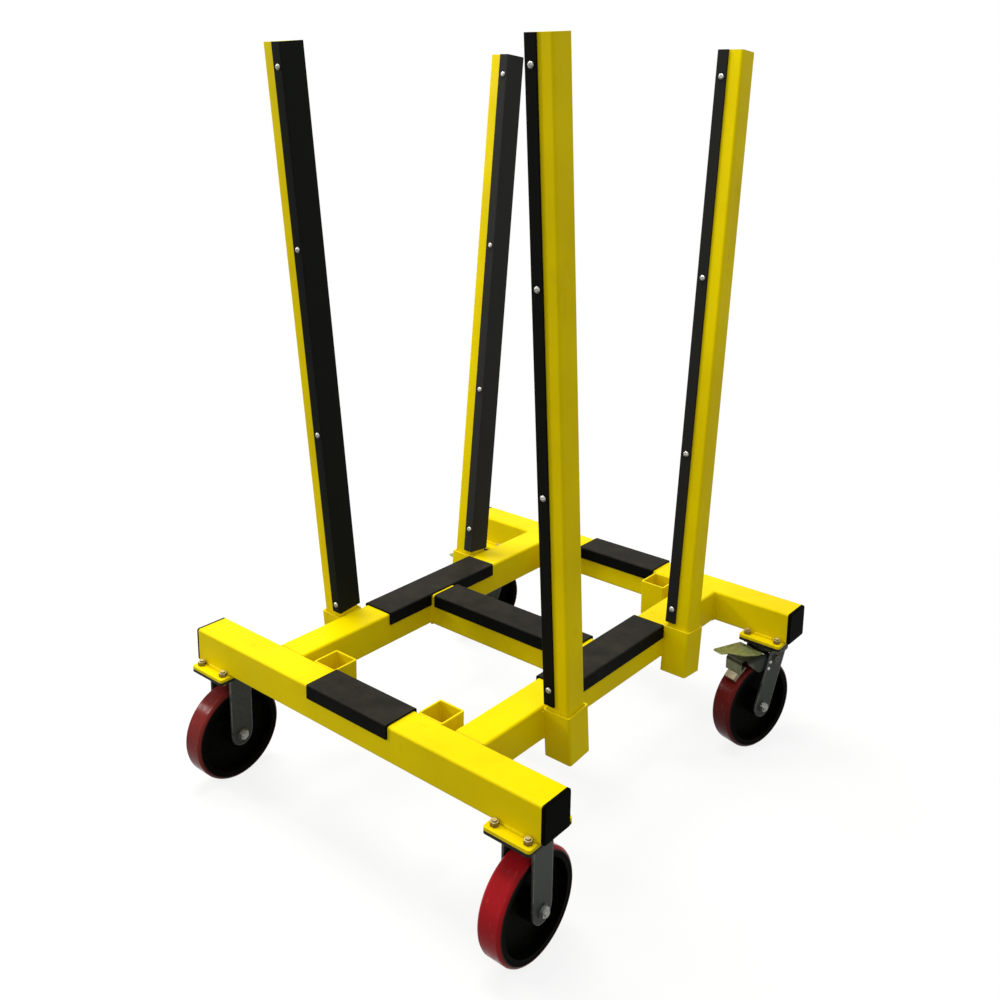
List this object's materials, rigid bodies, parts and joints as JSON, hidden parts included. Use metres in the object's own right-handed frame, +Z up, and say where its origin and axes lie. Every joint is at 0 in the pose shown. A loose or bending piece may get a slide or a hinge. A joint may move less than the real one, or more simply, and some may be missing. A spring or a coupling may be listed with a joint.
{
  "type": "slab flip cart",
  "caption": "Low welded cart of square tube on rigid and braked swivel casters, with padded loose posts in outward-leaning sockets that hold slabs upright while they are moved and turned.",
  "frame": {"origin": "on the floor, under the middle of the frame", "axes": "+Z up, +X along the end beams, +Y from the rigid casters' end to the swivel casters' end"},
  "size_m": [0.9333, 1.024, 1.5029],
  "materials": {
    "yellow_paint": "gloss",
    "black_rubber": "matte",
    "black_plastic": "satin",
    "grey_steel": "satin",
    "zinc_steel": "satin",
    "yellow_zinc": "satin",
    "cast_hub": "matte",
    "red_tread": "satin",
    "beige_shoe": "matte"
  },
  "bodies": {
    "frame": {"front_end_beam": "yellow_paint", "rear_end_beam": "yellow_paint", "left_side_rail": "yellow_paint", "right_side_rail": "yellow_paint", "centre_cross_beam": "yellow_paint", "caster_mount_plates": "yellow_paint", "front_beam_cap": "black_rubber", "rear_beam_cap": "black_rubber", "left_rail_cap": "black_rubber", "right_rail_cap": "black_rubber", "centre_beam_cap": "black_rubber", "beam_end_plugs": "black_plastic", "caster_bolts": "zinc_steel", "swivel_bearing_rings": "zinc_steel", "king_pins": "zinc_steel", "front_axle_bushes": "zinc_steel", "front_left_post_socket": "yellow_paint", "front_left_inner_socket": "yellow_paint", "front_left_fork": "grey_steel", "front_left_axle_bolt": "zinc_steel", "front_right_post_socket": "yellow_paint", "front_right_inner_socket": "yellow_paint", "front_right_fork": "grey_steel", "front_right_axle_bolt": "zinc_steel", "rear_left_post_socket": "yellow_paint", "rear_left_inner_socket": "yellow_paint", "rear_right_post_socket": "yellow_paint", "rear_right_inner_socket": "yellow_paint", "rear_left_swivel_plate": "grey_steel", "rear_right_swivel_plate": "grey_steel"},
    "front_left_post": {"front_left_post_tube": "yellow_paint", "front_left_post_pad": "black_rubber"},
    "front_right_post": {"front_right_post_tube": "yellow_paint", "front_right_post_pad": "black_rubber"},
    "rear_left_post": {"rear_left_post_tube": "yellow_paint", "rear_left_post_pad": "black_rubber"},
    "rear_right_post": {"rear_right_post_tube": "yellow_paint", "rear_right_post_pad": "black_rubber"},
    "front_left_wheel": {"front_left_wheel_hub": "cast_hub", "front_left_wheel_tread": "red_tread"},
    "front_right_wheel": {"front_right_wheel_hub": "cast_hub", "front_right_wheel_tread": "red_tread"},
    "rear_left_swivel": {"rear_left_fork": "grey_steel", "rear_left_axle_bolt": "zinc_steel", "rear_left_axle_bush": "zinc_steel", "rear_left_brake_pin": "zinc_steel"},
    "rear_left_wheel": {"rear_left_wheel_hub": "cast_hub", "rear_left_wheel_tread": "red_tread"},
    "rear_left_brake": {"rear_left_brake_arm": "grey_steel", "rear_left_brake_pedal": "yellow_zinc", "rear_left_brake_shoe": "beige_shoe"},
    "rear_right_swivel": {"rear_right_fork": "grey_steel", "rear_right_axle_bolt": "zinc_steel", "rear_right_axle_bush": "zinc_steel", "rear_right_brake_pin": "zinc_steel"},
    "rear_right_wheel": {"rear_right_wheel_hub": "cast_hub", "rear_right_wheel_tread": "red_tread"},
    "rear_right_brake": {"rear_right_brake_arm": "grey_steel", "rear_right_brake_pedal": "yellow_zinc", "rear_right_brake_shoe": "beige_shoe"}
  },
  "joints": [
    {"name": "front_left_post_lift", "type": "slide", "parent": "frame", "child": "front_left_post", "axis": [-0.0052, -0.0967, 0.9953], "range_m": [0, 0.1]},
    {"name": "front_right_post_lift", "type": "slide", "parent": "frame", "child": "front_right_post", "axis": [0.0061, -0.0836, 0.9965], "range_m": [0, 0.1]},
    {"name": "rear_left_post_lift", "type": "slide", "parent": "frame", "child": "rear_left_post", "axis": [0.0031, 0.0936, 0.9956], "range_m": [0, 0.1]},
    {"name": "rear_right_post_lift", "type": "slide", "parent": "frame", "child": "rear_right_post", "axis": [-0.0033, 0.0882, 0.9961], "range_m": [0, 0.1]},
    {"name": "front_left_wheel_spin", "type": "hinge", "parent": "frame", "child": "front_left_wheel", "pos_m": [-0.396, -0.433, 0.1], "axis": [1, 0, 0], "continuous": true},
    {"name": "front_right_wheel_spin", "type": "hinge", "parent": "frame", "child": "front_right_wheel", "pos_m": [0.396, -0.433, 0.1], "axis": [1, 0, 0], "continuous": true},
    {"name": "rear_left_swivel_turn", "type": "hinge", "parent": "frame", "child": "rear_left_swivel", "pos_m": [-0.396, 0.433, 0], "axis": [0, 0, 1], "continuous": true},
    {"name": "rear_left_wheel_spin", "type": "hinge", "parent": "rear_left_swivel", "child": "rear_left_wheel", "pos_m": [-0.40882, 0.38157, 0.1], "axis": [0.9703, -0.2419, 0], "continuous": true},
    {"name": "rear_left_brake_press", "type": "hinge", "parent": "rear_left_swivel", "child": "rear_left_brake", "pos_m": [-0.40036, 0.41553, 0.205], "axis": [-0.9703, 0.2419, 0], "range_deg": [0, 8]},
    {"name": "rear_right_swivel_turn", "type": "hinge", "parent": "frame", "child": "rear_right_swivel", "pos_m": [0.396, 0.433, 0], "axis": [0, 0, 1], "continuous": true},
    {"name": "rear_right_wheel_spin", "type": "hinge", "parent": "rear_right_swivel", "child": "rear_right_wheel", "pos_m": [0.38318, 0.38157, 0.1], "axis": [0.9703, -0.2419, 0], "continuous": true},
    {"name": "rear_right_brake_press", "type": "hinge", "parent": "rear_right_swivel", "child": "rear_right_brake", "pos_m": [0.39165, 0.41553, 0.205], "axis": [-0.9703, 0.2419, 0], "range_deg": [0, 8]}
  ]
}
